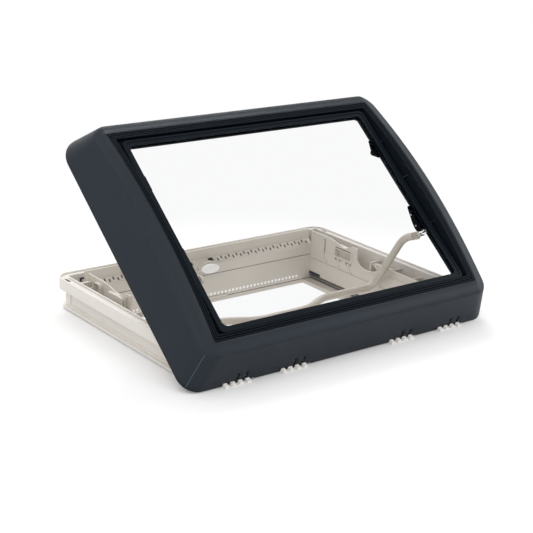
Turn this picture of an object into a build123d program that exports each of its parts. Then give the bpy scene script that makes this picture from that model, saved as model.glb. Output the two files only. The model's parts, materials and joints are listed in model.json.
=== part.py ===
from build123d import *
import os
from math import atan2, cos, degrees, radians, sin, tan

os.makedirs("parts", exist_ok=True)

# Roof hatch for a caravan, in millimetres, with its lid open on the bow.
# The origin is the centre of the roof cut-out, on the roof's outer skin.
# +X runs along the hinges, +Y from the hinges to the free edge, +Z is up.

# Driving dimensions
cutout_width = 700
cutout_depth = 500
roof_thickness = 24
rim_top = 72
lid_overlap = 34
lid_angle = 38.75
wall = 3

# Outer frame, on the roof
rim_overhang = 26
rim_height = 25
rim_radius = 34
wall_setback = 14
flange_setback = 8
flange_thickness = 6
sealant_gap = 3
frame_setback = 3
clamp_hole_radius = 1.6
clamp_hole_depth = 20
gutter_width = 17
gutter_depth = 3.5
rim_lip = 3
pocket_depth = 2
pocket_margin = 5

rim_width = cutout_width + 2 * rim_overhang
rim_depth = cutout_depth + 2 * rim_overhang
opening_width = cutout_width + 2 * frame_setback
opening_depth = cutout_depth + 2 * frame_setback
rim_bottom = rim_top - rim_height
frame_wall = rim_overhang - wall_setback - frame_setback

# Hatch opening, between the side panels
side_setback = 34
end_setback = 25
panel_rise = 8
side_seam = 9
end_seam = 20

opening_side = cutout_width / 2 - side_setback
opening_end = cutout_depth / 2 - end_setback
panel_top = rim_top + panel_rise

# Ceiling frame
frame_clearance = 10
screw_setback = 140
ceiling_frame_bottom = -52
ceiling_frame_lap = 40
ceiling_frame_radius = 22
ceiling_frame_width = cutout_width + 2 * ceiling_frame_lap
ceiling_frame_depth = cutout_depth + 2 * ceiling_frame_lap
neck_width = cutout_width - 2 * frame_clearance
neck_depth = cutout_depth - 2 * frame_clearance
ceiling = -roof_thickness
screw_spacing_x = opening_width + frame_wall
screw_spacing_y = cutout_depth - screw_setback
screw_hole_radius = 2.25
screw_head_radius = 5
screw_head_depth = 16

# Blind tracks, in the ceiling frame
track_depth = 18
track_top = -29
track_split = -35.5
track_bottom = -43
track_skin = 1
rail_reach = 20
blind_bay = 45
bar_clearance = 0.5
bar_depth = 12
grid_pitch = 10.8
grid_setback = 35
grid_size = 6.6
grip_reach = 4
grip_width = 120
pleat_count = 12

grid_count = int(2 * (opening_side - grid_setback) / grid_pitch)

# Side panels
slot_y = opening_end - 52
window_y = opening_end - 121
window_z = panel_top - 26
dip_start = opening_end - 60
dip_bottom = window_y - 12
dip_end = window_y - 36
dip_depth = 8
sunk_rear = dip_end - 11
sunk_start = sunk_rear - 127
sunk_top = panel_top - 17
sunk_low = panel_top - 43
sunk_front = 35 - opening_end
window_width = 58
window_height = 24
window_depth = 9
window_border = 4
window_radius = 5
latch_bar_drop = 5
bead_proud = 1.5
bead_width = 5
slot_top = panel_top - 6
slot_bend = 36
slot_foot = 18
slot_width = 6
slot_hook = 14
hole_radius = 3.2
hole_places = (-28, -13, 11, 26)
guide_places = (-21, 18)
guide_width = 3.5
shadow_gap = 1.5
cover_depth = 9
cover_width = 30
cover_height = 38
cover_radius = 10
web_top = panel_top - 20
web_places = (25 - opening_end, -130, -60, 10, opening_end - 35)
brace_y = opening_end - 13
brace_thickness = 7
brace_top = panel_top - 14
rib_y = window_y - 38
arch_y = sunk_rear - 89

# Rear panel and lock knob
vent_pitch = 16
vent_margin = 12
vent_length = 9
vent_width = 5
vent_stagger = 2.5
knob_z = panel_top - 40
knob_length = 48
knob_height = 21
knob_boss_margin = 3.5
knob_boss_proud = 8
knob_boss_back = 6
knob_depth = 11
knob_neck = 1.5
catch_x = 18
catch_rise = 3.5
catch_width = 20
catch_height = 9
spindle_radius = 4
cam_length = 12
cam_thickness = 3

# Hinges
hinge_reach = 5
hinge_drop = 24
hinge_y = -rim_depth / 2 - hinge_reach
hinge_z = rim_top - hinge_drop
outer_hinge = rim_width / 2 - 86
inner_hinge = rim_width / 2 - 229
hinge_places = (-outer_hinge, -inner_hinge, inner_hinge, outer_hinge)
knuckle_radius = 4.5
pin_radius = 2
pin_clearance = 0.05
seat_gap = 0.3
tooth_pitch = 18
tooth_width = 9
knuckle_gap = 0.5
tooth_count = 4
block_width = (tooth_count - 1) * tooth_pitch + tooth_width
block_front = hinge_y - 10
foot_height = 1.2
tooth_tip = 4
tooth_nose = 7
tooth_step = 6.4
tooth_back = 11.5
tooth_heel = 9
tooth_shoulder = hinge_z - tooth_pitch
notch_top = -29.5
notch_clearance = 1.2
edge_notch_place = 39
edge_notch_width = 14
edge_notch_height = 2.5

# Lid, in its own (x, v, n): v runs along the lid from the hinge, n out of it
lid_width = rim_width + 2 * lid_overlap
lid_depth = rim_depth + 2 * lid_overlap
skirt_front = hinge_reach - lid_overlap
skirt_back = skirt_front + lid_depth
skirt_bottom = -36
skirt_front_radius = 40
skirt_back_radius = 62
skirt_bulge = 0.5
shoulder_level = 76
shoulder_side = lid_width / 2 - 44
shoulder_bulge = 12.5
shoulder_front = skirt_front + 35
shoulder_back = skirt_back - 47
shoulder_front_radius = 34
shoulder_back_radius = 28
shoulder_round = 2.5
lid_top = 50
crown_rise = 22
crown_turn = 32
crown_margin = 10
land_fall = 0.3
lip_width = lid_width - 116
lip_depth = lid_depth - 112
lip_centre = (skirt_front + skirt_back) / 2 - 2
lip_radius = 4
lip_flange = 2.5
lip_flange_bottom = 38
aperture_width = lip_width - 76
aperture_depth = lip_depth - 64
aperture_centre = lip_centre - 3
aperture_radius = 12
flank_slot_low = -28
flank_slot_height = 15
flank_slot_width = 5
flank_slot_places = (0, 22)
leaf_low = 6
leaf_top = 36
leaf_thickness = 4

# Lid frame, inside the lip
lid_frame_bottom = 35
ridge_width = 2.6
ridge_gap = 2.2
ridge_count = 3
ridge_drop = 1.5
ridge_step = 1.2
groove_depth = 4
channel_floor = 38
rim_width_inside = 13
rim_bead = 4
rim_bead_height = 1.6
aperture_top = 48.4
gusset_places = (92, 188, 315, 420)
gusset_width = 3
gusset_drop = 13
pane_thickness = 2.5
inner_pane_thickness = 1.8
inner_pane_bottom = 39.8
spacer_width = 5
spacer_height = 2.2
gasket_width = 6
gasket_thickness = 0.5
pane_lap = 8
pane_gap = 0.3
bead_clearance = 0.2
bead_height = 4.6
seal_width = 6
lug_thickness = 10
lug_side = aperture_width / 2 - lug_thickness
lug_top = 39
hook_outline = ((435, lug_top), (430, 37), (412, 29), (410, 22), (396, 28), (384, lug_top))
bracket_outline = ((247, lug_top), (228, 27), (212, 20), (191, 18), (176, 14), (166, 22), (164, lug_top))

# Bow
bow_radius = 8.5
bow_x = lug_side - 10
pivot_v = 176
pivot_n = 24
rod_radius = 4
rod_clearance = 0.05
crossbar_y = hinge_y + 251
crossbar_z = hinge_z - 31
grip_offset = 37
elbow_radius = 22
neck_y = hinge_y + 163
neck_z = hinge_z + 112
neck_radius = 70
eye_radius = 9
eye_thickness = 6
grip_end = 165
grip_flat = 45

lid_cos = cos(radians(lid_angle))
lid_sin = sin(radians(lid_angle))
crown_radius = ((lip_depth / 2) ** 2 + crown_rise**2) / (2 * crown_rise)
crown_centre = lid_top + crown_rise - crown_radius


def lid_point(x, v, n):
    """Return the place at rest of a point given on the lid."""
    return (x, hinge_y + v * lid_cos - n * lid_sin, hinge_z + v * lid_sin + n * lid_cos)


def lid_level(n):
    """Return the plane across the lid at height n, with axes x and v."""
    return Plane(origin=lid_point(0, 0, n), x_dir=(1, 0, 0), z_dir=(0, -lid_sin, lid_cos))


def lid_side(x):
    """Return the plane along the lid at x, with axes v and n."""
    return Plane(origin=lid_point(x, 0, 0), x_dir=(0, lid_cos, lid_sin), z_dir=(1, 0, 0))


def save(piece, name):
    """Label a finished piece and write it."""
    piece.part.label = name
    export_step(piece.part, f"parts/{name}.step")


def crown_height(v):
    """Return how far out of the lid its crowned top stands, at a place along the lid."""
    return crown_centre + (crown_radius**2 - (v - lip_centre) ** 2) ** 0.5


def crowned_block(drop):
    """Return the solid under the lid's crowned top, lowered by drop: an arc along the
    lid, flat across its middle, with a land that falls to each side."""
    turn = radians(lid_angle + crown_turn / 2)
    centre = lid_point(0, lip_centre, crown_centre)
    top = crown_radius - drop
    reach = lid_width / 2 + crown_margin
    middle = lip_width / 2
    edge = top - land_fall * (reach - middle)
    base = top - shoulder_level + 3 * skirt_bottom
    with BuildPart() as block:
        with BuildSketch(Plane(origin=centre, x_dir=(1, 0, 0), z_dir=(0, -cos(turn), -sin(turn)))):
            with BuildLine():
                Polyline(
                    (-reach, base), (-reach, edge), (-middle, top),
                    (middle, top), (reach, edge), (reach, base), close=True,
                )
            make_face()
        revolve(axis=Axis(centre, (-1, 0, 0)), revolution_arc=crown_turn)
    return block.part


def lid_outline(level, side, bulge, front, back, front_radius, back_radius):
    """Return the lid's outline at one height, with sides that bow outwards."""
    with BuildSketch(lid_level(level)) as outline:
        with BuildLine():
            Line((-side, front), (side, front))
            ThreePointArc((side, front), (side + bulge, (front + back) / 2), (side, back))
            Line((side, back), (-side, back))
            ThreePointArc((-side, back), (-side - bulge, (front + back) / 2), (-side, front))
        make_face()
        fillet(outline.vertices().group_by(Axis.Y)[0], front_radius)
        fillet(outline.vertices().group_by(Axis.Y)[-1], back_radius)
    return outline.sketch


def lid_body(inset):
    """Return the lid's outer form, or the same form drawn in all round for its hollow."""
    with BuildPart() as body:
        loft([
            lid_outline(
                skirt_bottom, lid_width / 2 - inset, skirt_bulge, skirt_front + inset, skirt_back - inset,
                skirt_front_radius - inset, skirt_back_radius - inset,
            ),
            lid_outline(
                shoulder_level, shoulder_side - inset, shoulder_bulge, shoulder_front + inset,
                shoulder_back - inset, shoulder_front_radius - inset, shoulder_back_radius - inset,
            ),
        ])
        add(crowned_block(inset), mode=Mode.INTERSECT)
    return body.part


def ring(level, height, outer, inner, centre, radius, inner_centre=None):
    """Return a flat ring on the lid, from the width and depth of its two outlines."""
    with BuildPart() as band:
        with BuildSketch(lid_level(level)):
            with Locations((0, centre)):
                RectangleRounded(*outer, radius)
            with Locations((0, centre if inner_centre is None else inner_centre)):
                RectangleRounded(*inner, radius, mode=Mode.SUBTRACT)
        extrude(amount=height)
    return band.part


def rounded_corner(before, corner, after, radius):
    """Return the start, middle and end of a rounded corner between two straight runs."""
    to_before = (Vector(before) - Vector(corner)).normalized()
    to_after = (Vector(after) - Vector(corner)).normalized()
    half = radians(to_before.get_angle(to_after)) / 2
    centre = Vector(corner) + (to_before + to_after).normalized() * (radius / sin(half))
    reach = radius / tan(half)
    middle = centre + (Vector(corner) - centre).normalized() * radius
    return Vector(corner) + to_before * reach, middle, Vector(corner) + to_after * reach


# Outer frame: a banded rim with a gutter, a recessed wall and a roof flange
with BuildPart() as outer_frame:
    with BuildSketch(Plane.XY.offset(rim_bottom)):
        RectangleRounded(rim_width, rim_depth, rim_radius)
    extrude(amount=rim_height)
    chamfer(outer_frame.edges().group_by(Axis.Z)[-1], 0.6)
    with BuildSketch():
        inset = 2 * wall_setback
        RectangleRounded(rim_width - inset, rim_depth - inset, rim_radius - wall_setback)
    extrude(amount=rim_bottom)
    with BuildSketch(Plane.XY.offset(sealant_gap)):
        inset = 2 * flange_setback
        RectangleRounded(rim_width - inset, rim_depth - inset, rim_radius - flange_setback)
    extrude(amount=flange_thickness)
    with BuildSketch():
        RectangleRounded(opening_width, opening_depth, 6)
    extrude(amount=rim_top, mode=Mode.SUBTRACT)
    with BuildSketch(Plane.XY.offset(rim_top)):
        inset = 2 * rim_lip
        RectangleRounded(rim_width - inset, rim_depth - inset, rim_radius - rim_lip)
        inset = 2 * (rim_lip + gutter_width)
        inner_radius = rim_radius - rim_lip - gutter_width
        RectangleRounded(rim_width - inset, rim_depth - inset, inner_radius, mode=Mode.SUBTRACT)
    extrude(amount=-gutter_depth, mode=Mode.SUBTRACT)
    pocket_bottom = sealant_gap + flange_thickness + pocket_margin
    pocket_height = rim_bottom - pocket_margin - pocket_bottom
    for side, reach, length in (
        (Plane.YZ, rim_width / 2 - wall_setback, rim_depth - 2 * (wall_setback + rim_radius)),
        (Plane.XZ, rim_depth / 2 - wall_setback, rim_width - 2 * (wall_setback + rim_radius)),
    ):
        for out in (-reach, reach):
            with BuildSketch(side.offset(out)):
                with Locations((0, pocket_bottom + pocket_height / 2)):
                    Rectangle(length, pocket_height)
            extrude(amount=pocket_depth if out < 0 else -pocket_depth, mode=Mode.SUBTRACT)
    drain_x = rim_width / 2 - rim_lip - gutter_width / 2
    drain_y = rim_depth / 2 - rim_radius - 6
    with BuildSketch(Plane.XY.offset(rim_top - gutter_depth)):
        with Locations(*[(i * drain_x, j * drain_y) for i in (-1, 1) for j in (-1, 1)]):
            SlotOverall(22, 6, rotation=90)
    extrude(amount=-6, mode=Mode.SUBTRACT)
    with BuildSketch():
        with GridLocations(screw_spacing_x, screw_spacing_y, 2, 2):
            Circle(clamp_hole_radius)
    extrude(amount=clamp_hole_depth, mode=Mode.SUBTRACT)
save(outer_frame, "outer_frame")

# Ceiling frame: a neck through the roof, a flange under the ceiling and the blind bays
with BuildPart() as ceiling_frame:
    with BuildSketch(Plane.XY.offset(ceiling_frame_bottom)):
        RectangleRounded(ceiling_frame_width, ceiling_frame_depth, ceiling_frame_radius)
    extrude(amount=ceiling - ceiling_frame_bottom)
    fillet(ceiling_frame.edges().group_by(Axis.Z)[0], 6)
    with BuildSketch(Plane.XY.offset(ceiling)):
        RectangleRounded(neck_width, neck_depth, 6)
    extrude(amount=end_seam - ceiling)
    with BuildSketch(Plane.XY.offset(track_bottom)):
        Rectangle(2 * opening_side, 2 * opening_end)
    extrude(amount=end_seam - track_bottom, mode=Mode.SUBTRACT)
    with BuildSketch(Plane.XY.offset(ceiling_frame_bottom)):
        Rectangle(2 * (opening_side - rail_reach), 2 * opening_end)
    extrude(amount=track_bottom - ceiling_frame_bottom, mode=Mode.SUBTRACT)
    with BuildSketch(Plane.XY.offset(side_seam)):
        Rectangle(neck_width, 2 * opening_end)
    extrude(amount=end_seam - side_seam, mode=Mode.SUBTRACT)
    track_x = opening_side + track_depth
    with BuildSketch(Plane.XY.offset(track_bottom)):
        Rectangle(2 * track_x, 2 * opening_end)
    extrude(amount=track_top - track_bottom, mode=Mode.SUBTRACT)
    with BuildSketch(Plane.XY.offset(track_bottom)):
        with Locations((0, opening_end + blind_bay / 2)):
            Rectangle(2 * track_x, blind_bay)
    extrude(amount=track_split - track_skin - track_bottom, mode=Mode.SUBTRACT)
    with BuildSketch(Plane.XY.offset(track_split)):
        with Locations((0, -opening_end - blind_bay / 2)):
            Rectangle(2 * track_x, blind_bay)
    extrude(amount=track_top - track_split, mode=Mode.SUBTRACT)
    with BuildSketch(Plane.XZ.offset(-opening_end)):
        with Locations((0, track_split + grid_size / 2 + 1)):
            with GridLocations(grid_pitch, 1, grid_count, 1):
                Rectangle(grid_size, grid_size)
    extrude(amount=-4, mode=Mode.SUBTRACT)
    with BuildSketch(Plane.XY.offset(ceiling_frame_bottom)):
        with GridLocations(screw_spacing_x, screw_spacing_y, 2, 2):
            Circle(screw_hole_radius)
    extrude(amount=ceiling - ceiling_frame_bottom, mode=Mode.SUBTRACT)
    with BuildSketch(Plane.XY.offset(ceiling_frame_bottom)):
        with GridLocations(screw_spacing_x, screw_spacing_y, 2, 2):
            Circle(screw_head_radius)
    extrude(amount=screw_head_depth, mode=Mode.SUBTRACT)
save(ceiling_frame, "ceiling_frame")

# Blind tracks: one extruded rail on each side, with a groove for each blind
with BuildPart() as guide_rail_right:
    with BuildSketch(Plane.XZ.offset(-opening_end)) as rail_section:
        with Locations((opening_side + track_depth / 2, (track_top + track_bottom) / 2)):
            Rectangle(track_depth, track_top - track_bottom)
        for low, high in ((track_split, track_top - 1.2), (track_bottom + 1.2, track_split - track_skin)):
            with Locations((opening_side + track_depth / 2 - 0.6, (low + high) / 2)):
                Rectangle(track_depth - 1.2, high - low, mode=Mode.SUBTRACT)
    extrude(amount=2 * opening_end)
save(guide_rail_right, "guide_rail_right")
with BuildPart() as guide_rail_left:
    mirror(guide_rail_right.part, about=Plane.YZ)
save(guide_rail_left, "guide_rail_left")

# Side panels: the inner cheeks, with the bow's slot and arched track, the latch
# window and its box, a sunk top edge where the bow's rods pass, and webs behind
panel_out = opening_side + wall
cavity = opening_width / 2 - panel_out
with BuildPart() as side_panel_right:
    with BuildSketch(Plane.YZ.offset(opening_side)):
        with BuildLine():
            Line((opening_end, side_seam), (opening_end, panel_top))
            Line((opening_end, panel_top), (dip_start, panel_top))
            Spline(
                (dip_start, panel_top), (dip_bottom, panel_top - dip_depth), (dip_end, panel_top),
                tangents=((-1, 0), (-1, 0)),
            )
            Line((dip_end, panel_top), (sunk_rear, panel_top))
            sunk_line = Spline(
                (sunk_rear, panel_top), (sunk_rear - 4, sunk_low + 11), (sunk_rear - 20, sunk_low),
                (sunk_start + 50, sunk_top - 12), (sunk_start, sunk_top), tangents=((0, -1), (-1, 0)),
            )
            Line((sunk_start, sunk_top), (sunk_front + 22, sunk_top))
            Spline((sunk_front + 22, sunk_top), (sunk_front, panel_top), tangents=((-1, 0), (-1, 0)))
            Line((sunk_front, panel_top), (-opening_end, panel_top))
            Line((-opening_end, panel_top), (-opening_end, side_seam))
            Line((-opening_end, side_seam), (opening_end, side_seam))
        make_face()
    extrude(amount=wall)
    with BuildSketch(Plane.YZ.offset(opening_side - bead_proud)):
        trace(sunk_line, line_width=bead_width)
    extrude(amount=bead_proud + wall)
    with BuildSketch(Plane.YZ.offset(opening_side - bead_proud)):
        with Locations((window_y, window_z)):
            border = 2 * window_border
            RectangleRounded(window_width + border, window_height + border, window_radius + wall)
    extrude(amount=bead_proud + wall + window_depth)
    with BuildSketch(Plane.YZ.offset(opening_side - bead_proud)):
        with Locations((window_y, window_z)):
            RectangleRounded(window_width, window_height, window_radius)
    extrude(amount=bead_proud + window_depth, mode=Mode.SUBTRACT)
    with BuildSketch(Plane.YZ.offset(opening_side)):
        with Locations((window_y, window_z + window_height / 2 - latch_bar_drop)):
            Rectangle(window_width, wall)
    extrude(amount=window_depth)
    with BuildSketch(Plane.YZ.offset(opening_side)):
        with BuildLine() as slot_line:
            drop = Line((slot_y, slot_top), (slot_y, slot_bend))
            TangentArc(drop @ 1, (slot_y - slot_hook, slot_foot), tangent=drop % 1)
        trace(slot_line.wires(), line_width=slot_width)
    extrude(amount=wall / 2, mode=Mode.SUBTRACT)
    with BuildSketch(Plane.YZ.offset(panel_out)):
        with Locations((slot_y + 4, (slot_top + slot_bend) / 2)):
            RectangleRounded(cover_width, cover_height, cover_radius)
            RectangleRounded(
                cover_width - 2 * wall, cover_height - 2 * wall, cover_radius - wall, mode=Mode.SUBTRACT,
            )
    extrude(amount=cover_depth)
    with BuildSketch(Plane.YZ.offset(opening_side)):
        with Locations((slot_y, (slot_top + slot_bend) / 2)):
            SlotOverall(slot_top - slot_bend, slot_width, rotation=90)
    extrude(amount=wall, mode=Mode.SUBTRACT)
    with BuildSketch(Plane.YZ.offset(opening_side)):
        with BuildLine() as arch_line:
            foot = Line((arch_y, side_seam + 4), (arch_y - 4, side_seam + 13))
            bend = TangentArc(foot @ 1, (arch_y - 34, side_seam + 37), tangent=foot % 1)
            TangentArc(bend @ 1, (arch_y - 96, side_seam + 35), tangent=bend % 1)
        trace(arch_line.wires(), line_width=slot_width + 1)
    extrude(amount=wall / 2, mode=Mode.SUBTRACT)
    with BuildSketch(Plane.YZ.offset(opening_side)):
        hole_z = window_z - window_height / 2 - window_border - 4
        with Locations(*[(window_y + offset, hole_z) for offset in hole_places]):
            Circle(hole_radius)
    extrude(amount=wall, mode=Mode.SUBTRACT)
    for offset in guide_places:
        with BuildSketch(Plane.YZ.offset(opening_side)):
            with BuildLine() as guide_line:
                top = Line((window_y + offset, hole_z + 3), (window_y + offset, hole_z - 4))
                TangentArc(top @ 1, (window_y + offset - 12, side_seam + 5), tangent=top % 1)
            trace(guide_line.wires(), line_width=guide_width)
        extrude(amount=-bead_proud)
    with BuildSketch(Plane.YZ.offset(opening_side)):
        with Locations((0, side_seam + 2 * shadow_gap)):
            Rectangle(2 * opening_end, shadow_gap)
    extrude(amount=wall / 2, mode=Mode.SUBTRACT)
    with BuildSketch(Plane.XY.offset(side_seam)):
        with Locations((panel_out + cavity / 2, 0)):
            Rectangle(cavity, 2 * opening_end)
    extrude(amount=wall)
    for web_y in web_places:
        with BuildSketch(Plane.XZ.offset(-web_y)):
            with Locations((panel_out + cavity / 2, (side_seam + web_top) / 2)):
                Rectangle(cavity, web_top - side_seam)
        extrude(amount=wall / 2, both=True)
    with BuildSketch(Plane.XZ.offset(-brace_y)):
        with Locations((panel_out + cavity / 2, (side_seam + brace_top) / 2)):
            Rectangle(cavity, brace_top - side_seam)
    extrude(amount=brace_thickness / 2, both=True)
    with BuildSketch(Plane.XZ.offset(-rib_y)):
        with Locations((panel_out + wall, (side_seam + slot_top) / 2)):
            Rectangle(2 * wall, slot_top - side_seam)
    extrude(amount=wall / 2, both=True)
save(side_panel_right, "side_panel_right")
with BuildPart() as side_panel_left:
    mirror(side_panel_right.part, about=Plane.YZ)
save(side_panel_left, "side_panel_left")

# End panels: hollow rails with a sloping strip, the rear one pierced with two
# staggered rows of vent slots and bored for the lock knob
end_outer = opening_depth / 2
ledge_y = opening_end + 14
bevel_top = panel_top - 23
bevel_bottom = bevel_top - 12
end_section = (
    (opening_end, end_seam),
    (opening_end, bevel_bottom),
    (ledge_y, bevel_top),
    (ledge_y, panel_top),
    (ledge_y + wall, panel_top),
    (ledge_y + wall, bevel_top + 1),
    (end_outer, bevel_top + 1),
    (end_outer, end_seam),
)
end_hollow = (
    (opening_end + wall, end_seam + wall),
    (opening_end + wall, bevel_bottom - 1),
    (ledge_y + 1, bevel_top - wall),
    (end_outer - wall, bevel_top - wall),
    (end_outer - wall, end_seam + wall),
)
bevel_angle = degrees(atan2(bevel_top - bevel_bottom, ledge_y - opening_end))
bevel_plane = Plane(
    origin=(0, (opening_end + ledge_y) / 2, (bevel_bottom + bevel_top) / 2),
    x_dir=(1, 0, 0),
    z_dir=(0, -sin(radians(bevel_angle)), cos(radians(bevel_angle))),
)
with BuildPart() as front_panel:
    with BuildSketch(Plane.YZ.offset(-panel_out)):
        with BuildLine():
            Polyline(*end_section, close=True)
        make_face()
        with BuildLine():
            Polyline(*end_hollow, close=True)
        make_face(mode=Mode.SUBTRACT)
    extrude(amount=2 * panel_out)
    front_edges = front_panel.edges().filter_by(Axis.X).filter_by_position(Axis.Y, opening_end - 1, opening_end + 1)
    fillet(front_edges.sort_by(Axis.Z)[-1], 5)
with BuildPart() as rear_panel:
    add(front_panel.part)
    knob_zone = knob_length / 2 + knob_boss_margin + vent_length / 2
    vent_count = int(2 * (opening_side - vent_margin) / vent_pitch)
    rows = [(i * vent_pitch / 2, (-1) ** i * vent_stagger) for i in range(-vent_count, vent_count + 1)]
    with BuildSketch(bevel_plane):
        with Locations(*[place for place in rows if abs(place[0]) > knob_zone]):
            SlotOverall(vent_length, vent_width, rotation=90)
        with Locations((catch_x, catch_rise)):
            Trapezoid(catch_width, catch_height, 60)
    extrude(amount=-2 * wall, mode=Mode.SUBTRACT)
    with BuildSketch(Plane.XZ.offset(-opening_end - knob_boss_back)):
        with Locations((0, knob_z)):
            Ellipse(knob_length / 2 + knob_boss_margin, knob_height / 2 + knob_boss_margin)
    extrude(amount=knob_boss_back + knob_boss_proud)
    with BuildSketch(Plane.XZ.offset(-opening_end - knob_boss_back)):
        with Locations((0, knob_z)):
            Circle(spindle_radius + pin_clearance)
    extrude(amount=knob_boss_back + knob_boss_proud, mode=Mode.SUBTRACT)
save(rear_panel, "rear_panel")
with BuildPart() as front_panel_turned:
    mirror(front_panel.part, about=Plane.XZ)
save(front_panel_turned, "front_panel")

# Lock knob: an oval grip on a neck, and its spindle and cam
knob_back = opening_end - knob_boss_proud - seat_gap
cam_front = opening_end + knob_boss_back + seat_gap
with BuildPart() as lock_knob:
    with BuildSketch(Plane.XZ.offset(-knob_back)):
        with Locations((0, knob_z)):
            Ellipse(knob_length / 2 - knob_neck, knob_height / 2 - knob_neck)
    extrude(amount=knob_neck)
    with BuildSketch(Plane.XZ.offset(-knob_back + knob_neck)):
        with Locations((0, knob_z)):
            Ellipse(knob_length / 2, knob_height / 2)
    extrude(amount=knob_depth - knob_neck)
    fillet(lock_knob.edges().group_by(Axis.Y)[0], 1.5)
    with BuildSketch(Plane.XZ.offset(-knob_back)):
        with Locations((0, knob_z)):
            Circle(spindle_radius)
    extrude(amount=knob_back - cam_front - cam_thickness)
    with BuildSketch(Plane.XZ.offset(-cam_front)):
        with Locations((0, knob_z - cam_length / 2)):
            SlotCenterToCenter(cam_length, 2 * spindle_radius, rotation=90)
    extrude(amount=-cam_thickness)
save(lock_knob, "lock_knob")

# Hinge blocks: a foot on the roof in front of the flange, with a comb of teeth
rim_front = -rim_depth / 2
wall_front = rim_front + wall_setback
flange_front = rim_front + flange_setback
tooth_places = [(i - (tooth_count - 1) / 2) * tooth_pitch for i in range(tooth_count)]
knuckle_places = [(i - (tooth_count - 2) / 2) * tooth_pitch for i in range(tooth_count - 1)]
knuckle_width = tooth_pitch - tooth_width - 2 * knuckle_gap
for number, hinge_x in enumerate(hinge_places, 1):
    with BuildPart() as hinge_block:
        with BuildSketch():
            with Locations((hinge_x, (block_front + wall_front) / 2)):
                RectangleRounded(block_width, wall_front - block_front, 2)
        extrude(amount=foot_height)
        for tooth_x in tooth_places:
            with BuildSketch(Plane.YZ.offset(hinge_x + tooth_x)):
                with BuildLine():
                    Polyline(
                        (flange_front - seat_gap, 0), (block_front, 0), (block_front, tooth_tip),
                        (block_front + tooth_nose, tooth_step), (block_front + tooth_back, tooth_heel),
                        (block_front + tooth_back, tooth_shoulder), (hinge_y - knuckle_radius, hinge_z),
                        (hinge_y + knuckle_radius, hinge_z), (hinge_y + knuckle_radius, rim_bottom - 3),
                        (wall_front, rim_bottom - 8), (wall_front, rim_bottom - 16),
                        (flange_front - seat_gap, rim_bottom - 24),
                        close=True,
                    )
                make_face()
                with Locations((hinge_y, hinge_z)):
                    Circle(knuckle_radius)
            extrude(amount=tooth_width / 2, both=True)
        with BuildSketch(Plane.YZ.offset(hinge_x)):
            with Locations((hinge_y, hinge_z)):
                Circle(pin_radius)
        extrude(amount=block_width / 2, both=True, mode=Mode.SUBTRACT)
    save(hinge_block, f"hinge_block_{number}")
    with BuildPart() as hinge_pin:
        with BuildSketch(Plane.YZ.offset(hinge_x)):
            with Locations((hinge_y, hinge_z)):
                Circle(pin_radius)
        extrude(amount=block_width / 2, both=True)
        with BuildSketch(Plane.YZ.offset(hinge_x + block_width / 2)):
            with Locations((hinge_y, hinge_z)):
                Circle(pin_radius + 1.2)
        extrude(amount=1.5)
    save(hinge_pin, f"hinge_pin_{number}")

# Lid shell: a flared skirt up to a rounded shoulder, a crowned top with sloping lands,
# and a flange turned down round the window; hollow below, notched for the hinge teeth
lip_block = ring(
    lip_flange_bottom, 3 * shoulder_level, (lip_width + 2 * lip_flange, lip_depth + 2 * lip_flange),
    (lip_width, lip_depth), lip_centre, lip_radius,
)
with BuildPart() as lid_cavity:
    add(lid_body(wall))
    add(lip_block, mode=Mode.SUBTRACT)
with BuildPart() as lid_shell:
    add(lid_body(0))
    crease = []
    for edge in lid_shell.edges():
        place = lid_level(0).to_local_coords(edge.position_at(0.5))
        if place.Z > lid_frame_bottom and abs(abs(place.X) - lip_width / 2) > 1:
            crease.append(edge)
    fillet(crease, shoulder_round)
    add(lid_cavity.part, mode=Mode.SUBTRACT)
    with BuildSketch(lid_level(skirt_bottom - 1)):
        with Locations((0, lip_centre)):
            RectangleRounded(lip_width, lip_depth, lip_radius)
    extrude(amount=3 * shoulder_level, mode=Mode.SUBTRACT)
    notch_width = tooth_width + 2 * notch_clearance
    for hinge_x in hinge_places:
        for tooth_x in tooth_places:
            with BuildSketch(lid_side(hinge_x + tooth_x)):
                with Locations((0, (skirt_bottom + notch_top) / 2)):
                    Rectangle(-4 * skirt_front, notch_top - skirt_bottom)
            extrude(amount=notch_width / 2, both=True, mode=Mode.SUBTRACT)
        for slot_x in flank_slot_places:
            with BuildSketch(lid_side(hinge_x + slot_x)):
                with Locations((skirt_front / 2, flank_slot_low + flank_slot_height / 2)):
                    Rectangle(-skirt_front, flank_slot_height)
            extrude(amount=flank_slot_width / 2, both=True, mode=Mode.SUBTRACT)
        with BuildSketch(lid_side(hinge_x + edge_notch_place)):
            with Locations((skirt_front, skirt_bottom)):
                Rectangle(-skirt_front, 2 * edge_notch_height)
        extrude(amount=edge_notch_width / 2, both=True, mode=Mode.SUBTRACT)
save(lid_shell, "lid_shell")

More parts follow.
